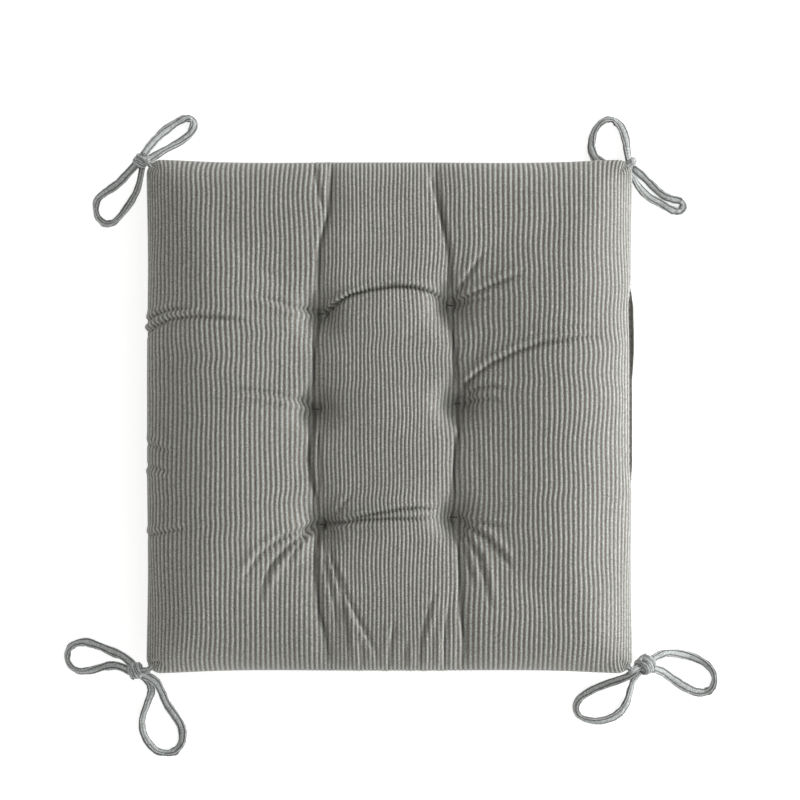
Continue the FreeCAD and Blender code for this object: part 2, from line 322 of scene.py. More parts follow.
def level_out(values, reach):
    """Running mean over a number of neighbours along the first axis."""
    if reach < 1:
        return values
    padded = np.concatenate([np.repeat(values[:1], reach, axis=0), values,
                             np.repeat(values[-1:], reach, axis=0)])
    total = np.cumsum(np.concatenate([np.zeros_like(values[:1]), padded]), axis=0)
    return (total[2 * reach + 1:] - total[:-2 * reach - 1]) / (2 * reach + 1)


def rib_places():
    """Where each fine column reads the rough cloth in each row: on its own rib, with a slight wander."""
    chance = np.random.default_rng(11).normal(0, 0.3, (30, 24))
    wobble = smooth_along(smooth_along(chance, np.linspace(0, 28.99, len(rows))).T,
                          np.linspace(0, 22.99, len(columns))).T
    edge = np.clip(np.minimum(columns, CELLS_ACROSS - columns) / 5, 0, 1)
    wander = level_out(level_out(wobble.T, 14), 10).T * edge
    return np.clip(columns + wander, 0, CELLS_ACROSS)


def fine_cloth(ids):
    """Points of one panel on the fine grid."""
    across = smooth_along(filled[ids], row_places)
    ahead, behind = 2 * across[:, :1] - across[:, 1:2], 2 * across[:, -1:] - across[:, -2:-1]
    padded = np.concatenate([ahead, across, behind], axis=1)
    low = np.minimum(places.astype(int), CELLS_ACROSS - 1)
    f = (places - low)[..., None]
    weights = [(1 - f) ** 3, 3 * f ** 3 - 6 * f ** 2 + 4, -3 * f ** 3 + 3 * f ** 2 + 3 * f + 1, f ** 3]
    line = np.arange(len(rows))[:, None]
    return sum(w * padded[line, low + k] for k, w in enumerate(weights)) / 6


places = rib_places()


def outward(points, side):
    """Unit normals of a grid of points."""
    normal = np.cross(np.gradient(points, axis=1), np.gradient(points, axis=0)) * side
    return normal / np.maximum(np.linalg.norm(normal, axis=-1, keepdims=True), 1e-12)


top_cloth, under_cloth = fine_cloth(top_ids), fine_cloth(under_ids)
print("fine cloth:", top_cloth.shape, "points a side")

# %% [markdown]
# ## Folds
# Where cloth is gathered by a tuft it doubles over in sharp creases that no coarse cloth can hold. Each one
# is a line across the pad with its depth and width, pressed in along the surface, with a lip on one side
# where the fold stands proud. The lines run from tuft to tuft, from the tufts to the seams, and fan out.

# %% Press the folds in
def fold(line, depth, width, lip=0.0, side=1, sink=0.0, wide=26.0):
    """A crease: its points and its sizes in mm. side 1 puts the lip on the left. sink and wide are the
    depth and reach of the round shoulders that run down to it on both sides."""
    sizes = {"depth": depth, "width": width, "lip": lip, "sink": sink, "wide": wide}
    return {"line": np.array(line) * MM, "side": side, **{key: value * MM for key, value in sizes.items()}}


FOLDS = [
    # the arch between the two back tufts, and the folds between the two front ones
    fold([(-55, 83), (-46, 91), (-33, 99), (-17, 104), (3, 107), (19, 106), (33, 102), (49, 92)],
         6.5, 1.4, 3.0, 1, 2.5, 15),
    fold([(-54, -89), (-38, -87), (-20, -85), (0, -84), (22, -84), (40, -82)], 3.8, 1.4, 2.0, -1, 2.5, 13),
    fold([(-34, -84), (-10, -79), (8, -76), (22, -75), (40, -77)], 4.0, 1.4, 2.2, 1, 1.5, 10),
    fold([(-45, -82), (-38, -72), (-30, -64)], 2.0, 1.6, 1.0, 1),
    # left column, back to front
    fold([(-47, 206), (-49, 168), (-53, 153), (-57, 136), (-58, 110), (-57, 88)], 4.5, 1.7, 0.8, -1, 5.0, 24),
    fold([(-61, 206), (-58, 186), (-54, 170)], 3.0, 1.6, 0.6, 1),
    fold([(-57, 84), (-61, 60), (-62, 36), (-61, 10)], 4.5, 1.6, 0.4, -1, 8.0, 28),
    fold([(-61, 6), (-64, -17), (-66, -35), (-62, -58), (-57, -86)], 4.5, 1.6, 0.6, 1, 8.0, 28),
    fold([(-58, -12), (-57, -38), (-56, -70)], 3.0, 1.3),
    fold([(-56, -90), (-60, -112), (-59, -135), (-57, -160), (-52, -178), (-49, -206)],
         4.5, 1.6, 0.8, 1, 5.0, 22),
    fold([(-50, -104), (-46, -118), (-32, -152), (-12, -190), (-6, -206)], 3.6, 1.8, 1.2, -1),
    fold([(-45, -122), (-38, -150), (-34, -176), (-32, -206)], 3.2, 1.7, 1.2, 1),
    fold([(-54, -98), (-52, -120), (-45, -150), (-42, -180)], 2.6, 1.6, 0.8, -1),
    # right column, back to front
    fold([(50, 92), (50, 115), (49, 135), (43, 163), (39, 193), (38, 210)], 4.5, 1.7, 0.8, -1, 5.0, 24),
    fold([(46, 150), (41, 172), (34, 196), (32, 207)], 2.4, 1.6, 0.6, 1),
    fold([(50, 88), (52, 69), (54, 47), (56, 12)], 4.5, 1.6, 0.4, 1, 8.0, 28),
    fold([(56, 8), (57, -10), (54, -31), (53, -58), (53, -82)], 4.5, 1.6, 0.4, -1, 8.0, 28),
    fold([(53, -85), (57, -108), (58, -131), (59, -162), (62, -190), (60, -208)], 4.8, 1.6, 1.0, -1, 5.0, 22),
    fold([(56, -88), (64, -100), (75, -116), (79, -134), (83, -158)], 4.0, 1.9, 1.4, 1),
    fold([(57, -86), (68, -92), (79, -98), (92, -112), (102, -126)], 4.0, 1.9, 1.8, 1),
    fold([(55, -90), (61, -106), (66, -124), (70, -142)], 3.2, 1.6, 1.2, 1),
    # fans and gathers
    fold([(52, 96), (60, 107), (68, 120), (77, 134)], 3.6, 1.9, 1.2, 1),
    fold([(53, 93), (68, 100), (83, 107), (96, 112), (110, 116)], 4.0, 1.9, 2.0, 1),
    fold([(54, 91), (70, 95), (84, 97)], 2.4, 1.8, 0.8, 1),
    fold([(57, 12), (62, 24), (70, 33), (83, 43), (104, 53), (124, 60), (149, 63), (170, 65)],
         3.6, 1.9, 2.6, 1, 2.0, 14),
    fold([(60, 14), (72, 23), (84, 25), (98, 22)], 2.8, 1.7, 1.2, 1),
    fold([(59, 10), (68, 13), (82, 14), (94, 12)], 2.6, 1.7, 0.8, 1),
    fold([(118, 68), (140, 73), (166, 74)], 1.2, 2.0, 1.0, 1),
    fold([(57, -84), (70, -87), (97, -90)], 2.4, 1.9, 0.8, 1),
    fold([(-60, -89), (-74, -94), (-86, -98), (-107, -114), (-121, -135)], 3.6, 2.0, 2.0, -1),
    fold([(-61, -91), (-72, -98), (-82, -106), (-96, -122), (-103, -139), (-106, -152)], 4.4, 1.9, 1.6, 1),
    fold([(-66, -96), (-76, -108), (-84, -122)], 2.6, 1.8, 0.8, 1),
    fold([(0, -207), (2, -184), (4, -166)], 2.8, 1.7, 1.0, 1),
    fold([(14, -207), (14, -184)], 2.8, 1.7, 0.8, -1),
    fold([(25, -207), (27, -180), (37, -143)], 3.0, 1.7, 1.2, -1),
    fold([(-22, -207), (-22, -182)], 2.6, 1.7, 0.8, 1),
    fold([(46, -207), (45, -186), (48, -152)], 2.8, 1.7, 1.0, 1),
    fold([(-60, 86), (-80, 90), (-97, 96), (-118, 99)], 2.2, 2.0, 1.8, 1),
    fold([(-62, 8), (-70, 12), (-95, 19), (-119, 22), (-146, 21)], 2.4, 2.0, 2.4, 1),
    fold([(-202, 66), (-193, 74), (-180, 80), (-160, 82), (-140, 81), (-109, 77)], 3.6, 1.7, 2.2, 1),
    fold([(-202, 76), (-190, 84), (-176, 88), (-160, 88)], 2.6, 1.6, 1.2, 1),
    fold([(-200, -99), (-190, -96), (-180, -94), (-162, -90)], 2.2, 1.7, 1.2, 1),
    fold([(-200, -22), (-188, -26), (-178, -30)], 1.8, 1.7, 1.2, 1),
    fold([(-200, -40), (-188, -44), (-176, -46)], 1.8, 1.7, 1.0, -1),
    fold([(-200, -203), (-190, -203), (-182, -209)], 2.0, 1.8),
]


def press(points, crease):
    """How far a crease moves each point in or out."""
    line = crease["line"]
    reach = np.concatenate([[0], np.cumsum(np.linalg.norm(np.diff(line, axis=0), axis=1))])
    best = np.full(points.shape[:2], 1.0)
    signed, travel = np.zeros_like(best), np.zeros_like(best)
    for k, (start, end) in enumerate(zip(line[:-1], line[1:])):
        way = end - start
        rel = points[..., :2] - start
        share = np.clip(rel @ way / (way @ way), 0, 1)
        off = rel - share[..., None] * way
        gap = np.hypot(off[..., 0], off[..., 1])
        closer = gap < best
        best = np.where(closer, gap, best)
        left = np.sign(way[0] * rel[..., 1] - way[1] * rel[..., 0])
        signed = np.where(closer, gap * left, signed)
        travel = np.where(closer, (reach[k] + share * np.linalg.norm(way)) / reach[-1], travel)
    width = crease["width"]
    taper = np.clip(np.minimum(travel / 0.12 + 0.35, (1 - travel) / 0.3), 0, 1)
    valley = -crease["depth"] * np.exp(-(best / width) ** 2)
    lip = crease["lip"] * np.exp(-((signed * crease["side"] - 2.4 * width) / (1.6 * width)) ** 2)
    near = 1 - np.clip(best / crease["wide"], 0, 1)
    shoulder = crease["sink"] * (1 - np.sqrt(1 - near ** 2 + 1e-9))
    above = np.clip((points[..., 2] - TACK_TOP) / (18 * MM), 0, 1)
    return (valley + lip * (best < 6 * width)) * taper - shoulder * above


def shape_outline(points, side):
    """Rounds the corners and draws them out, and lets the panels gape where the cover was sewn shut."""
    points = points.copy()
    out = np.abs(points[..., :2]) - (np.array([HALF_W, HALF_D]) - CORNER_ROUND)
    both = (out > 0).all(axis=-1)
    shrink = np.where(both, out.max(axis=-1) / np.maximum(np.hypot(out[..., 0], out[..., 1]), 1e-9), 1.0)
    inset = np.where(both[..., None], out * (1 - shrink[..., None]), 0.0)
    points[..., :2] -= np.sign(points[..., :2]) * inset
    corner = np.hypot(np.abs(points[..., 0]) - HALF_W, np.abs(points[..., 1]) - HALF_D)
    pull = np.exp(-(corner / (48 * MM)) ** 2)[..., None]
    points[..., :2] += np.sign(points[..., :2]) * pull * np.array([1.2, 2.6]) * MM
    from_rim = fine_a[0, -1] - fine_a
    y = points[..., 1] / MM
    gape = np.clip((112 - y) / 22, 0, 1) * np.clip((y + 62) / 22, 0, 1)
    if side > 0:
        points[..., 0] -= 8.0 * MM * gape * np.exp(-(from_rim / (6 * MM)) ** 2)
        points[..., 2] -= 3.0 * MM * gape * np.exp(-(from_rim / (6 * MM)) ** 2)
        points[..., 0] -= 1.4 * MM * gape * np.exp(-((from_rim - 16 * MM) / (8 * MM)) ** 2)
    else:
        lip = gape * (0.45 + 0.55 * np.clip((y - 30) / 25, 0, 1))
        points[..., 0] -= 8.0 * MM * gape * np.exp(-(from_rim / (2.6 * MM)) ** 2)
        points[..., 2] -= 3.0 * MM * gape * np.exp(-(from_rim / (2.6 * MM)) ** 2)
        points[..., 0] += 3.2 * MM * lip * np.exp(-((from_rim - 8 * MM) / (4 * MM)) ** 2)
        points[..., 2] += 7.0 * MM * lip * np.exp(-((from_rim - 7 * MM) / (3.4 * MM)) ** 2)
    return points


def dress(points, side):
    """Adds the folds and the ribs to a panel, and rests the underside on the floor."""
    points = shape_outline(points, side)
    normal = outward(points, side)
    lift = np.zeros(points.shape[:2])
    if side > 0:
        for spot in tuft_at.values():
            away = np.hypot(points[..., 0] - spot.x, points[..., 1] - spot.y)
            lift += SHOULDER * np.exp(-((away - 15 * MM) / (8 * MM)) ** 2)
        points = points + normal * lift[..., None]
        normal = outward(points, side)
        lift = np.zeros(points.shape[:2])
        for spot in tuft_at.values():
            away = np.hypot(points[..., 0] - spot.x, points[..., 1] - spot.y)
            lift -= 6.0 * MM * np.exp(-(away / (3.8 * MM)) ** 2)
        for crease in FOLDS:
            lift += press(points, crease)
    points = points + normal * lift[..., None]
    rim = np.minimum.reduce([
        fine_a - fine_a[0, 0], fine_a[0, -1] - fine_a, fine_b - fine_b[0, 0], fine_b[-1, 0] - fine_b])
    ribs = rib_rise * RIB_HEIGHT * (0.25 + 0.75 * np.clip(rim / (6 * MM), 0, 1))
    if side < 0:
        soft = RIB_HEIGHT * 1.1
        points[..., 2] = np.where(points[..., 2] < 4 * soft,
                                  soft + 3 * soft * np.exp((points[..., 2] - 4 * soft) / (3 * soft)),
                                  points[..., 2])
    return points + outward(points, side) * (ribs - RIB_HEIGHT / 2)[..., None]


top_dressed, under_dressed = dress(top_cloth, 1), dress(under_cloth, -1)
pad_cover = bag_mesh("pad_cover", top_dressed, under_dressed)
polygon_count = len(pad_cover.data.polygons)
pad_cover.data.polygons.foreach_set("use_smooth", np.ones(polygon_count, dtype=bool))
print("pad cover:", polygon_count, "faces")

# %% [markdown]
# ## Where each face lies on the flat cloth
# The colour of the ribs is laid out on the flat panels, so every face keeps its place on them in metres.

# %% Flat cloth coordinates
def write_cloth_map(obj):
    """UV map 'cloth': metres on the flat panels, the top in the lower half and the underside above."""
    side_rows, side_columns = fine_a.shape
    u = fine_a - fine_a[0, 0]
    v = fine_b - fine_b[0, 0]
    maps = []
    for grid_v in (v, v + 0.5):
        uv = np.stack([u, grid_v], axis=-1)
        maps.append([uv[:-1, :-1], uv[:-1, 1:], uv[1:, 1:], uv[1:, :-1]])
    top_uv = np.stack([m.reshape(-1, 2) for m in maps[0]], axis=1)
    under_uv = np.stack([maps[1][k].reshape(-1, 2) for k in (3, 2, 1, 0)], axis=1)
    layer = obj.data.uv_layers.new(name="cloth")
    layer.data.foreach_set("uv", np.concatenate([top_uv, under_uv]).astype(np.float32).ravel())


write_cloth_map(pad_cover)
print("flat map on", pad_cover.name, "from", fine_a.shape, "points a side")

# %% [markdown]
# ## Materials
# Every material is built from nodes. The corduroy reads the flat cloth map to paint shade into the grooves
# between the ribs, over their darker ground weave, and noise gives the pile its speckle, slow changes of
# tone and a fine bump.

# %% Colours and nodes
def tone(code):
    """Linear colour of an sRGB hex code."""
    parts = [int(code[k:k + 2], 16) / 255 for k in (1, 3, 5)]
    return [c / 12.92 if c <= 0.04045 else ((c + 0.055) / 1.055) ** 2.4 for c in parts] + [1.0]


def add(material, kind, links=None, **settings):
    """Adds a node. settings are properties or input values, links feed its inputs from sockets."""
    node = material.node_tree.nodes.new(kind)
    for key, value in settings.items():
        if hasattr(node, key):
            setattr(node, key, value)
        else:
            node.inputs[key.replace("_", " ")].default_value = value
    for key, socket in (links or {}).items():
        material.node_tree.links.new(socket, node.inputs[key])
    return node


def start_material(name):
    """Empty node material with its output."""
    material = bpy.data.materials.new(name)
    material.use_nodes = True
    material.node_tree.nodes.clear()
    return material, material.node_tree.nodes.new("ShaderNodeOutputMaterial")


def corduroy(name, rib_code, groove_shade_code, pitch, crown_edge, groove_edge):
    """Cotton-polyester corduroy: cut pile in ribs, matt, paler on the crowns, and darker in the grooves by
    painted shade over the darker ground weave.
    """
    m, output = start_material(name)
    cloth_map = add(m, "ShaderNodeUVMap", uv_map="cloth")
    split = add(m, "ShaderNodeSeparateXYZ", {0: cloth_map.outputs[0]})
    phase = add(m, "ShaderNodeMath", {0: split.outputs[0]}, operation="DIVIDE")
    phase.inputs[1].default_value = pitch
    part = add(m, "ShaderNodeMath", {0: phase.outputs[0]}, operation="FRACT")
    centred = add(m, "ShaderNodeMath", {0: part.outputs[0]}, operation="SUBTRACT")
    centred.inputs[1].default_value = 0.5
    off_crown = add(m, "ShaderNodeMath", {0: centred.outputs[0]}, operation="ABSOLUTE")
    place = add(m, "ShaderNodeTexCoord")
    wander = add(m, "ShaderNodeTexNoise", {"Vector": place.outputs["Object"]}, Scale=9.0, Detail=3.0)
    pile = add(m, "ShaderNodeTexNoise", {"Vector": place.outputs["Object"]}, Scale=1100.0, Detail=2.0,
               Roughness=0.7)
    fuzz = add(m, "ShaderNodeTexNoise", {"Vector": place.outputs["Object"]}, Scale=850.0, Detail=2.0,
               Roughness=0.7)
    # This mask paints shade into the grooves between the ribs, on top of the ground weave's own darker tone.
    groove = add(m, "ShaderNodeMapRange", {"Value": off_crown.outputs[0]}, interpolation_type="SMOOTHSTEP")
    groove.inputs["From Min"].default_value = crown_edge
    groove.inputs["From Max"].default_value = groove_edge
    rib_colour_and_groove_shade = add(m, "ShaderNodeMix", {"Factor": groove.outputs[0]}, data_type="RGBA")
    rib_colour_and_groove_shade.inputs["A"].default_value = tone(rib_code)
    rib_colour_and_groove_shade.inputs["B"].default_value = tone(groove_shade_code)
    speckle = add(m, "ShaderNodeMapRange", {"Value": fuzz.outputs["Fac"]})
    for key, value in (("From Min", 0.3), ("From Max", 0.7), ("To Min", 0.5), ("To Max", 1.55)):
        speckle.inputs[key].default_value = value
    shade = add(m, "ShaderNodeMapRange", {"Value": wander.outputs["Fac"]})
    for key, value in (("From Min", 0.3), ("From Max", 0.7), ("To Min", 0.93), ("To Max", 1.07)):
        shade.inputs[key].default_value = value
    both = add(m, "ShaderNodeMath", {0: speckle.outputs[0], 1: shade.outputs[0]}, operation="MULTIPLY")
    colour = add(m, "ShaderNodeVectorMath", {0: rib_colour_and_groove_shade.outputs["Result"], "Scale": both.outputs[0]},
                 operation="SCALE")
    bump = add(m, "ShaderNodeBump", {"Height": pile.outputs["Fac"]}, Strength=0.5, Distance=0.0004)
    shader = add(m, "ShaderNodeBsdfPrincipled",
                 {"Base Color": colour.outputs[0], "Normal": bump.outputs[0]}, Roughness=0.92)
    shader.inputs["Specular IOR Level"].default_value = 0.25
    shader.inputs["Sheen Weight"].default_value = 0.25
    shader.inputs["Sheen Roughness"].default_value = 0.5
    m.node_tree.links.new(shader.outputs[0], output.inputs[0])
    return m


# The second, darker colour is painted shade for the grooves, over the darker ground weave.
pad_corduroy = corduroy("grey_corduroy", "#B6B8B4", "#7F7A73", a_line[1] - a_line[0], 0.04, 0.42)
pad_cover.data.materials.append(pad_corduroy)
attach(pad_cover, "pad")
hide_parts("top_cover", "bottom_cover", "filling")
print("pad cover:", pad_corduroy.name)

# %% [markdown]
# ## The ties
# Each corner has a strap of folded corduroy. It is sewn into the seam, knotted once and ends in two loops.
# A loop is a limp flat cord: it leaves the knot, drops to the floor and lies there. Its line is a NURBS
# curve through a few given points, measured from the corner of the pad, and the flat strap is a
# mesh that follows it, with its lengthwise ribs, turning on edge where it bends, because a flat strap
# only bends easily that way.

# %% Where the straps run
STRAP_WIDTH, STRAP_THICK = 6.9 * MM, 3.8 * MM
GIRTH = 2 * (STRAP_WIDTH + STRAP_THICK)

TIES = {
    "back_left": {
        "corner": (-1, 1), "knot": (-5.5, 1.5, 25.0), "size": 6.2, "axis": (0.55, 0.8, 0.15), "turns": 3.4,
        "stem": [],
        "loops": {
            "back": (0.119, [
                (-4.1, 6.0, 24.0), (0.5, 14.0, 18.0), (8.0, 23.5, 9.0), (18.5, 32.5, 3.8),
                (29.0, 39.0, 3.0), (36.0, 38.0, 3.0), (37.5, 31.0, 3.0), (31.0, 22.5, 3.4),
                (20.5, 15.5, 8.0), (10.0, 9.5, 16.0), (-0.9, 1.9, 22.8)]),
            "left": (0.138, [
                (-9.6, -0.9, 24.0), (-17.0, -8.0, 17.5), (-26.0, -16.5, 9.0), (-36.0, -22.5, 3.8),
                (-44.0, -28.5, 3.0), (-45.5, -39.0, 3.0), (-41.0, -48.5, 3.0), (-31.5, -50.0, 3.0),
                (-22.5, -40.5, 3.2), (-14.5, -30.0, 6.5), (-8.0, -18.5, 13.0), (-4.9, -3.0, 22.0)]),
        },
    },
    "back_right": {
        "corner": (1, 1), "knot": (-1.0, -2.0, 5.6), "size": 5.5, "axis": (0.6, -0.5, 0.6), "turns": 2.2,
        "stem": [(2.4, 2.2, 24.0), (2.0, 1.6, 15.0)],
        "loops": {
            "back": (0.108, [
                (-0.6, 2.3, 5.2), (-1.7, 10.0, 3.8), (-2.6, 20.0, 3.0), (-5.5, 30.0, 3.0),
                (-12.5, 38.0, 3.0), (-22.5, 37.0, 3.0), (-30.0, 27.0, 3.0), (-32.5, 14.5, 3.0),
                (-28.5, 4.5, 3.0), (-19.0, 0.0, 3.0), (-11.5, -3.2, 3.6), (-5.4, -2.4, 5.2)]),
            "right": (0.115, [
                (3.2, -3.4, 5.4), (10.0, -8.5, 3.8), (18.5, -17.0, 3.0), (27.0, -25.5, 3.0),
                (36.0, -29.0, 3.0), (43.5, -30.5, 3.0), (45.5, -35.0, 3.0), (42.0, -39.5, 3.0),
                (35.0, -38.0, 3.0), (26.5, -32.5, 3.0), (17.0, -28.0, 3.0), (9.0, -20.5, 3.0),
                (3.8, -12.5, 3.8), (-0.6, -6.4, 5.0)]),
        },
    },
    "front_left": {
        "corner": (-1, -1), "knot": (-10.0, -0.5, 24.0), "size": 7.0, "axis": (0.9, 0.3, 0.3), "turns": 3.1,
        "stem": [],
        "loops": {
            "left": (0.139, [
                (-12.9, 4.3, 22.0), (-19.5, 10.5, 16.5), (-31.0, 14.0, 8.0), (-44.0, 19.5, 3.6),
                (-57.0, 23.0, 3.0), (-68.0, 17.0, 3.0), (-69.5, 5.0, 3.0), (-61.0, -3.0, 3.0),
                (-48.0, -2.0, 3.4), (-35.0, 2.5, 7.5), (-24.0, 3.0, 14.5), (-15.4, -1.0, 21.5)]),
            "front": (0.179, [
                (-4.9, -3.6, 23.5), (5.0, -7.5, 19.5), (10.0, -17.5, 12.0), (14.0, -30.0, 5.2),
                (22.5, -41.5, 3.0), (28.0, -51.5, 3.0), (27.0, -64.0, 3.0), (17.5, -72.0, 3.0),
                (5.0, -69.5, 3.0), (-4.5, -58.0, 3.0), (-7.5, -44.5, 3.0), (-2.5, -30.5, 4.6),
                (2.5, -18.5, 9.0), (0.0, -9.0, 14.5), (-8.4, -3.9, 19.2)]),
        },
    },
    "front_right": {
        "corner": (1, -1), "knot": (12.0, 4.5, 23.0), "size": 8.4, "axis": (-0.62, -0.5, 0.6), "turns": 3.2,
        "stem": [],
        "loops": {
            "right": (0.141, [
                (17.6, 8.6, 22.0), (25.5, 13.5, 17.0), (37.5, 13.0, 8.5), (51.5, 10.0, 3.6),
                (65.0, 4.0, 3.0), (72.0, -6.5, 3.0), (69.5, -18.0, 3.0), (59.0, -21.5, 3.0),
                (46.5, -16.0, 3.2), (35.0, -8.0, 6.5), (25.5, -0.5, 14.0), (17.8, 1.1, 21.0)]),
            "front": (0.159, [
                (5.4, 2.4, 23.0), (0.5, -5.0, 17.0), (-9.0, -9.5, 9.5), (-21.0, -13.5, 4.4),
                (-34.0, -19.5, 3.0), (-44.5, -27.5, 3.0), (-44.5, -38.5, 3.0), (-34.0, -44.0, 3.0),
                (-20.5, -44.0, 3.0), (-8.0, -38.5, 3.0), (-1.5, -28.0, 3.2), (0.5, -17.0, 6.5),
                (3.0, -7.5, 12.5), (9.5, 0.3, 18.0)]),
        },
    },
}


# How the strap of each loop turns on its way round, in degrees at even stations. 0 lies flat.
TWISTS = {
    ("back_left", "back"): [0, 10, 15, 30, 25, -40, -50, -10, 20, 35, 50, 20],
    ("back_left", "left"): [0, 15, 10, 25, 50, 60, 50, 55, 65, 60, 55, 70],
    ("back_right", "back"): [60, 30, 20, 15, 50, 65, 50, 15, 5, 20, 50, 70],
    ("back_right", "right"): [10, 20, 30, 15, 5, 20, -10, -15, 5, 20, 50, 70],
    ("front_left", "left"): [0, 15, 20, 10, 25, 50, 65, 60, 40, -10, -25, 0],
    ("front_left", "front"): [0, 10, 5, -5, 20, 45, 60, 55, 60, 50, 45, 60],
    ("front_right", "right"): [20, -20, -10, 20, 45, 65, 60, 40, 15, 5, 10, 20],
    ("front_right", "front"): [0, 40, 30, 20, 55, 65, 50, 30, 25, 50, 60, 50],
}


def nurbs_line(points):
    """Points read from a NURBS curve with these control points, in metres."""
    data = bpy.data.curves.new("line", "CURVE")
    data.dimensions = "3D"
    spline = data.splines.new("NURBS")
    spline.points.add(len(points) - 1)
    for control, point in zip(spline.points, points):
        control.co = (*point, 1.0)
    spline.order_u = 3
    spline.use_endpoint_u = True
    spline.resolution_u = 8
    obj = bpy.data.objects.new("line", data)
    mesh = bpy.data.meshes.new_from_object(obj)
    line = np.array([v.co for v in mesh.vertices])
    bpy.data.objects.remove(obj)
    bpy.data.curves.remove(data)
    bpy.data.meshes.remove(mesh)
    return line


# %% [markdown]
# The strap's section is a flat oval with a groove between its ribs on both faces. It is swept along the
# line with its width held level or along a given axis, turned by the twist at each point.

# %% Flat ribbed strap
RING = 28


def strap_section(width, thick):
    """Points round the strap's section, across and through, and how deep in a groove each one is."""
    turn = np.arange(RING) / RING * 2 * math.pi
    across = width / 2 * np.sign(np.cos(turn)) * np.abs(np.cos(turn)) ** 0.75
    through = thick / 2 * np.sign(np.sin(turn)) * np.abs(np.sin(turn)) ** 0.6
    groove = sum(np.exp(-((across / width - c) / 0.07) ** 2) for c in (-0.3, 0.3))
    return across, through * (1 - 0.36 * groove)


def strap_mesh(name, line, width, thick, twist, side_of):
    """Closed tube of the strap's section along a line. side_of gives the width's direction at a point."""
    along = np.gradient(line, axis=0)
    along /= np.linalg.norm(along, axis=1, keepdims=True)
    side = np.cross(side_of(line), along)
    side /= np.linalg.norm(side, axis=1, keepdims=True)
    face = np.cross(along, side)
    angle = np.radians(twist)[:, None]
    wide = side * np.cos(angle) + face * np.sin(angle)
    deep = np.cross(along, wide)
    across, through = strap_section(width, thick)
    count = len(line)
    steps = np.concatenate([[0], np.cumsum(np.linalg.norm(np.diff(line, axis=0), axis=1))])
    chance = np.random.default_rng(len(name) * 7 + count)
    spots = np.arange(0, int(steps[-1] / (5 * MM)) + 3) * 5 * MM
    slack = [1 + amount * np.interp(steps, spots, chance.normal(0, 1, len(spots))) for amount in (0.07, 0.1)]
    slack = [np.clip(level_out(s, 1), 0.78, 1.22)[:, None, None] for s in slack]
    rings = (line[:, None] + wide[:, None] * across[:, None] * slack[0]
             + deep[:, None] * through[:, None] * slack[1])
    bends = np.linalg.norm(np.gradient(along, axis=0), axis=1) / np.maximum(np.gradient(steps), 1e-6)
    crumple = chance.normal(0, 1, (count, RING // 4))[:, np.arange(RING) * (RING // 4) // RING]
    crumple = level_out(level_out(crumple, 1).T, 2).T * np.clip(0.1 + bends * 6 * MM, 0, 0.65)[:, None] * MM
    outwards = rings - line[:, None]
    rings += outwards / np.linalg.norm(outwards, axis=-1, keepdims=True) * crumple[..., None]
    rings[..., 2] = np.maximum(rings[..., 2], 0.1 * MM)
    points = np.concatenate([rings.reshape(-1, 3), line[:1], line[-1:]])
    faces = []
    for k in range(count - 1):
        for j in range(RING):
            n = (j + 1) % RING
            faces.append((k * RING + j, (k + 1) * RING + j, (k + 1) * RING + n, k * RING + n))
    for j in range(RING):
        n = (j + 1) % RING
        faces.append((count * RING, j, n))
        last = (count - 1) * RING
        faces.append((count * RING + 1, last + n, last + j))
    mesh = bpy.data.meshes.new(name)
    mesh.from_pydata(points.tolist(), [], faces)
    mesh.update()
    obj = bpy.data.objects.new(name, mesh)
    bpy.context.scene.collection.objects.link(obj)
    layer = mesh.uv_layers.new(name="cloth")
    girth = GIRTH / RING
    for polygon in mesh.polygons:
        for corner in polygon.loop_indices:
            vertex = mesh.loops[corner].vertex_index
            ring, spot = divmod(vertex, RING) if vertex < count * RING else (0, 0)
            if spot == 0 and any(mesh.loops[c].vertex_index % RING == RING - 1 for c in polygon.loop_indices):
                spot = RING
            layer.data[corner].uv = (spot * girth, steps[min(ring, count - 1)])
    mesh.polygons.foreach_set("use_smooth", np.ones(len(mesh.polygons), dtype=bool))
    bpy.ops.object.select_all(action="DESELECT")
    bpy.context.view_layer.objects.active = obj
    obj.select_set(True)
    bpy.ops.object.mode_set(mode="EDIT")
    bpy.ops.mesh.select_all(action="SELECT")
    bpy.ops.mesh.normals_make_consistent(inside=False)
    bpy.ops.object.mode_set(mode="OBJECT")
    return obj


def level(line):
    """Keeps a strap's width level, as it lies on the floor."""
    return np.tile([0.0, 0.0, 1.0], (len(line), 1))


def loop_twist(count, stations):
    """Twist of a loop's strap in degrees, from a few stations evenly along it. 0 is flat, 90 on edge."""
    spots = np.linspace(0, 1, len(stations))
    twist = np.interp(np.linspace(0, 1, count), spots, stations)
    return level_out(twist, max(count // 24, 1))


# %% [markdown]
# The knot is the same strap wound round itself. Its turns lie side by side round a small core, and one
# more turn crosses over them, which is what holds an overhand knot.

# %% Knots
def frame_of(axis):
    """Three unit vectors with the last along the axis."""
    w = np.array(axis) / np.linalg.norm(axis)
    u = np.cross(w, [0.3, 0.2, 1.0])
    u /= np.linalg.norm(u)
    return u, np.cross(w, u), w


def wound_line(centre, size, axis, turns):
    """Line of the strap's turns in a knot: side by side, swelling in the middle, then crossing over."""
    u, v, w = frame_of(axis)
    share = np.linspace(0, 1, int(turns * 22))
    angle = share * turns * 2 * math.pi
    body = size - STRAP_THICK * 0.5
    swell = body * (0.80 + 0.2 * np.sin(share * math.pi))
    shift = (share - 0.5) * size * 1.5
    return (centre + np.outer(swell * np.cos(angle), u) + np.outer(swell * np.sin(angle), v)
            + np.outer(shift, w))


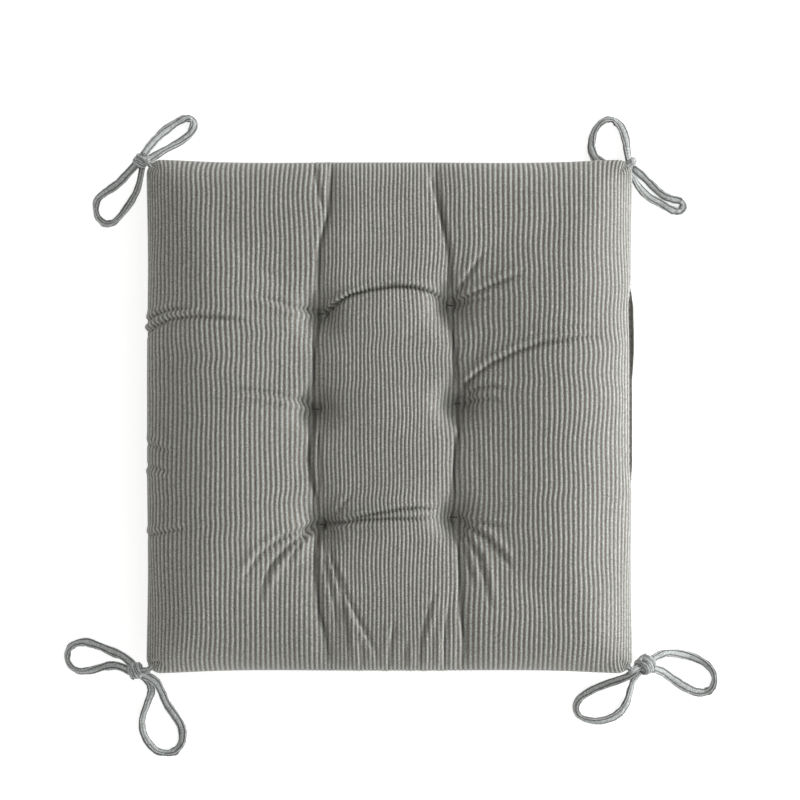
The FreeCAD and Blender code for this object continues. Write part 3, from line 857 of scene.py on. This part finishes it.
def crossing_line(centre, size, axis):
    """Line of the turn that crosses over a knot."""
    u, v, w = frame_of(axis)
    angle = np.linspace(-0.2, 1.15, 26) * math.pi
    reach = size - STRAP_THICK * 0.18
    lean = 0.75 * np.cos(angle)
    return (centre + np.outer(reach * np.cos(angle) * 0.8, u) + np.outer(reach * np.sin(angle), v)
            + np.outer(size * lean * 0.62, w))


def from_centre(centre):
    """Keeps a strap's face towards the outside of a knot."""
    def out(line):
        return line - centre + 1e-6
    return out


def join(name, parts):
    """Joins meshes into one piece."""
    bpy.ops.object.select_all(action="DESELECT")
    for part in parts:
        part.select_set(True)
    bpy.context.view_layer.objects.active = parts[0]
    bpy.ops.object.join()
    parts[0].name = name
    return parts[0]


def ball(name, centre, radius):
    """A round core or bend of strap."""
    bpy.ops.object.select_all(action="DESELECT")
    bpy.ops.mesh.primitive_uv_sphere_add(segments=24, ring_count=14, radius=radius, location=centre)
    piece = bpy.context.object
    piece.name = name
    bpy.ops.object.transform_apply(location=True, rotation=True, scale=True)
    piece.data.uv_layers[0].name = "cloth"
    bpy.ops.object.shade_smooth()
    return piece


def knot_piece(name, centre, size, axis, turns):
    """A tied knot: a core, the turns round it and the crossing turn."""
    u, v, w = frame_of(axis)
    wound = wound_line(centre, size, axis, turns)
    width = STRAP_WIDTH * 0.66
    strap = strap_mesh(name + "_turns", wound, width, STRAP_THICK, np.full(len(wound), 4.0),
                       from_centre(centre))
    over = crossing_line(centre, size, axis)
    cross = strap_mesh(name + "_cross", over, width, STRAP_THICK, np.full(len(over), -6.0),
                       from_centre(centre))
    return join(name, [strap, cross, ball("core", centre, size * 0.72)])


# %% [markdown]
# The end of each strap is sewn in between the seam's edges, so it stays with the pad. The strap bends just
# outside the corner, where the CAD has its hinge. Both parts meet there in a small round bend, centred on the
# hinge, so that the strap stays joined however far the bow is swung up.

# %% Make the ties
SEWN_LENGTH = 14 * MM          # how far the strap runs in between the seam's edges
BEND_RADIUS = 2.5 * MM         # half the folded strap's thickness at the bend
# The dark second colour is painted shade in the strap's grooves, over the darker ground weave.
strap_corduroy = corduroy("strap_corduroy", "#B6BABA", "#57514C", GIRTH / 6, 0.2, 0.5)

for tie_name, tie in TIES.items():
    corner = np.array([tie["corner"][0] * HALF_W, tie["corner"][1] * HALF_D, 0.0])
    body = f"tie_{tie_name}"
    centre = corner + np.array(tie["knot"]) * MM
    knot = knot_piece(f"knot_{tie_name}", centre, tie["size"] * MM, tie["axis"], tie["turns"])
    pivot = corner + np.array([0, 0, SEAM_Z])
    stem_points = [corner + np.array(p) * MM for p in tie["stem"]] or [(pivot + centre) / 2]
    stem_line = nurbs_line([pivot] + stem_points + [centre])
    stem = strap_mesh(f"stem_{tie_name}", stem_line, STRAP_WIDTH * 0.8, STRAP_THICK * 1.25,
                      np.full(len(stem_line), 10.0), lambda line: np.tile([0.05, 0.1, 1.0], (len(line), 1)))
    stem = join(f"stem_{tie_name}", [stem, ball("bend", pivot, BEND_RADIUS)])
    diagonal = np.array([*tie["corner"], 0]) / math.sqrt(2)
    sewn_line = pivot + np.outer(np.linspace(-SEWN_LENGTH, 0, 12), diagonal)
    sewn = strap_mesh(f"sewn_end_{tie_name}", sewn_line, STRAP_WIDTH * 0.72, STRAP_THICK,
                      np.zeros(len(sewn_line)), level)
    sewn.data.materials.append(strap_corduroy)
    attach(sewn, "pad")
    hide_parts(f"tie_anchor_{tie_name}")
    for piece, node in ((knot, "knot"), (stem, "stem")):
        piece.data.materials.clear()
        piece.data.materials.append(strap_corduroy)
        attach(piece, body)
        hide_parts(f"tie_{node}_{tie_name}")
    for number, (side_name, (length, route)) in enumerate(tie["loops"].items()):
        line = nurbs_line([corner + np.array(p) * MM for p in route])
        loop = strap_mesh(f"loop_{tie_name}_{side_name}", line, STRAP_WIDTH, STRAP_THICK,
                          loop_twist(len(line), TWISTS[tie_name, side_name]), level)
        loop.data.materials.append(strap_corduroy)
        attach(loop, body)
        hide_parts(f"tie_loop_{tie_name}_{side_name}")
        run = np.linalg.norm(np.diff(line, axis=0), axis=1).sum()
        print(f"{loop.name}: {run * 1000:.0f} mm along its line, {length * 1000:.0f} mm in all")

# %% [markdown]
# The threads stay as the CAD has them. Each tuft is a loop of twisted thread with its knot below, the rim
# is one long line of stitches inside the seam, and a row of overcast stitches closes the hole in the right
# side where the filling went in. Only their material is new.

# %% Thread


def thread_material(name, code, twist_pitch):
    """Polyester thread: a few filaments twisted together, with a dull shine across the twist; the darker
    bands between the filaments are painted shade.
    """
    m, output = start_material(name)
    place = add(m, "ShaderNodeTexCoord")
    twist = add(m, "ShaderNodeTexWave", {"Vector": place.outputs["Object"]}, wave_type="BANDS",
                bands_direction="DIAGONAL", Scale=0.5 / twist_pitch, Distortion=0.6)
    # The darker band colour is painted shade between the twisted filaments.
    colour = add(m, "ShaderNodeMix", {"Factor": twist.outputs["Fac"]}, data_type="RGBA")
    colour.inputs["A"].default_value = [c * 0.55 for c in tone(code)[:3]] + [1.0]
    colour.inputs["B"].default_value = tone(code)
    bump = add(m, "ShaderNodeBump", {"Height": twist.outputs["Fac"]}, Strength=0.6, Distance=0.0002)
    shader = add(m, "ShaderNodeBsdfPrincipled", {"Base Color": colour.outputs["Result"],
                                                 "Normal": bump.outputs[0]}, Roughness=0.6)
    m.node_tree.links.new(shader.outputs[0], output.inputs[0])
    return m


thread = thread_material("polyester_thread", "#55504B", 0.7 * MM)
for name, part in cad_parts.items():
    if "thread" in name:
        part.data.materials.clear()
        part.data.materials.append(thread)
        print(f"{name}: {thread.name}")

# %% [markdown]
# ## Floor and light
# The pad lies on a white floor. The sky is brighter and cooler towards +x, and one soft lamp stands low on
# that side.

# %% Floor and light
bpy.ops.object.select_all(action="DESELECT")
bpy.ops.mesh.primitive_plane_add(size=40)
floor = bpy.context.object
floor.name = "floor"
white, output = start_material("white_floor")
white_shader = add(white, "ShaderNodeBsdfPrincipled", Base_Color=(0.9, 0.9, 0.9, 1), Roughness=0.9)
white_shader.inputs["Emission Color"].default_value = (1, 1, 1, 1)
white_shader.inputs["Emission Strength"].default_value = 0.6
white.node_tree.links.new(white_shader.outputs[0], output.inputs[0])
floor.data.materials.append(white)

world = bpy.data.worlds.new("studio")
bpy.context.scene.world = world
world.use_nodes = True
sky = world.node_tree.nodes
where = sky.new("ShaderNodeTexCoord")
part_x = sky.new("ShaderNodeSeparateXYZ")
ramp = sky.new("ShaderNodeMapRange")
ramp.inputs["From Min"].default_value = -1.0
ramp.inputs["To Min"].default_value = 0.14
ramp.inputs["To Max"].default_value = 1.08
tint = sky.new("ShaderNodeMix")
tint.data_type = "RGBA"
tint.inputs["A"].default_value = (1, 0.95, 0.9, 1)
tint.inputs["B"].default_value = (0.965, 1, 1, 1)
world.node_tree.links.new(ramp.outputs[0], tint.inputs["Factor"])
world.node_tree.links.new(tint.outputs["Result"], sky["Background"].inputs[0])
world.node_tree.links.new(where.outputs["Generated"], part_x.inputs[0])
world.node_tree.links.new(part_x.outputs[0], ramp.inputs["Value"])
world.node_tree.links.new(ramp.outputs[0], sky["Background"].inputs[1])
bpy.context.scene.view_settings.view_transform = "Standard"


def lamp(name, place, aim, size, power):
    """Soft square light."""
    data = bpy.data.lights.new(name, "AREA")
    data.size = size
    data.energy = power
    obj = bpy.data.objects.new(name, data)
    obj.location = place
    obj.rotation_euler = (Vector(aim) - Vector(place)).to_track_quat("-Z", "Y").to_euler()
    bpy.context.scene.collection.objects.link(obj)
    return obj


key = lamp("key", (2.2, 0.3, 0.66), (0, 0, 0), 0.7, 36)
print("floor", floor.name, "world", world.name, "lamp", key.name)
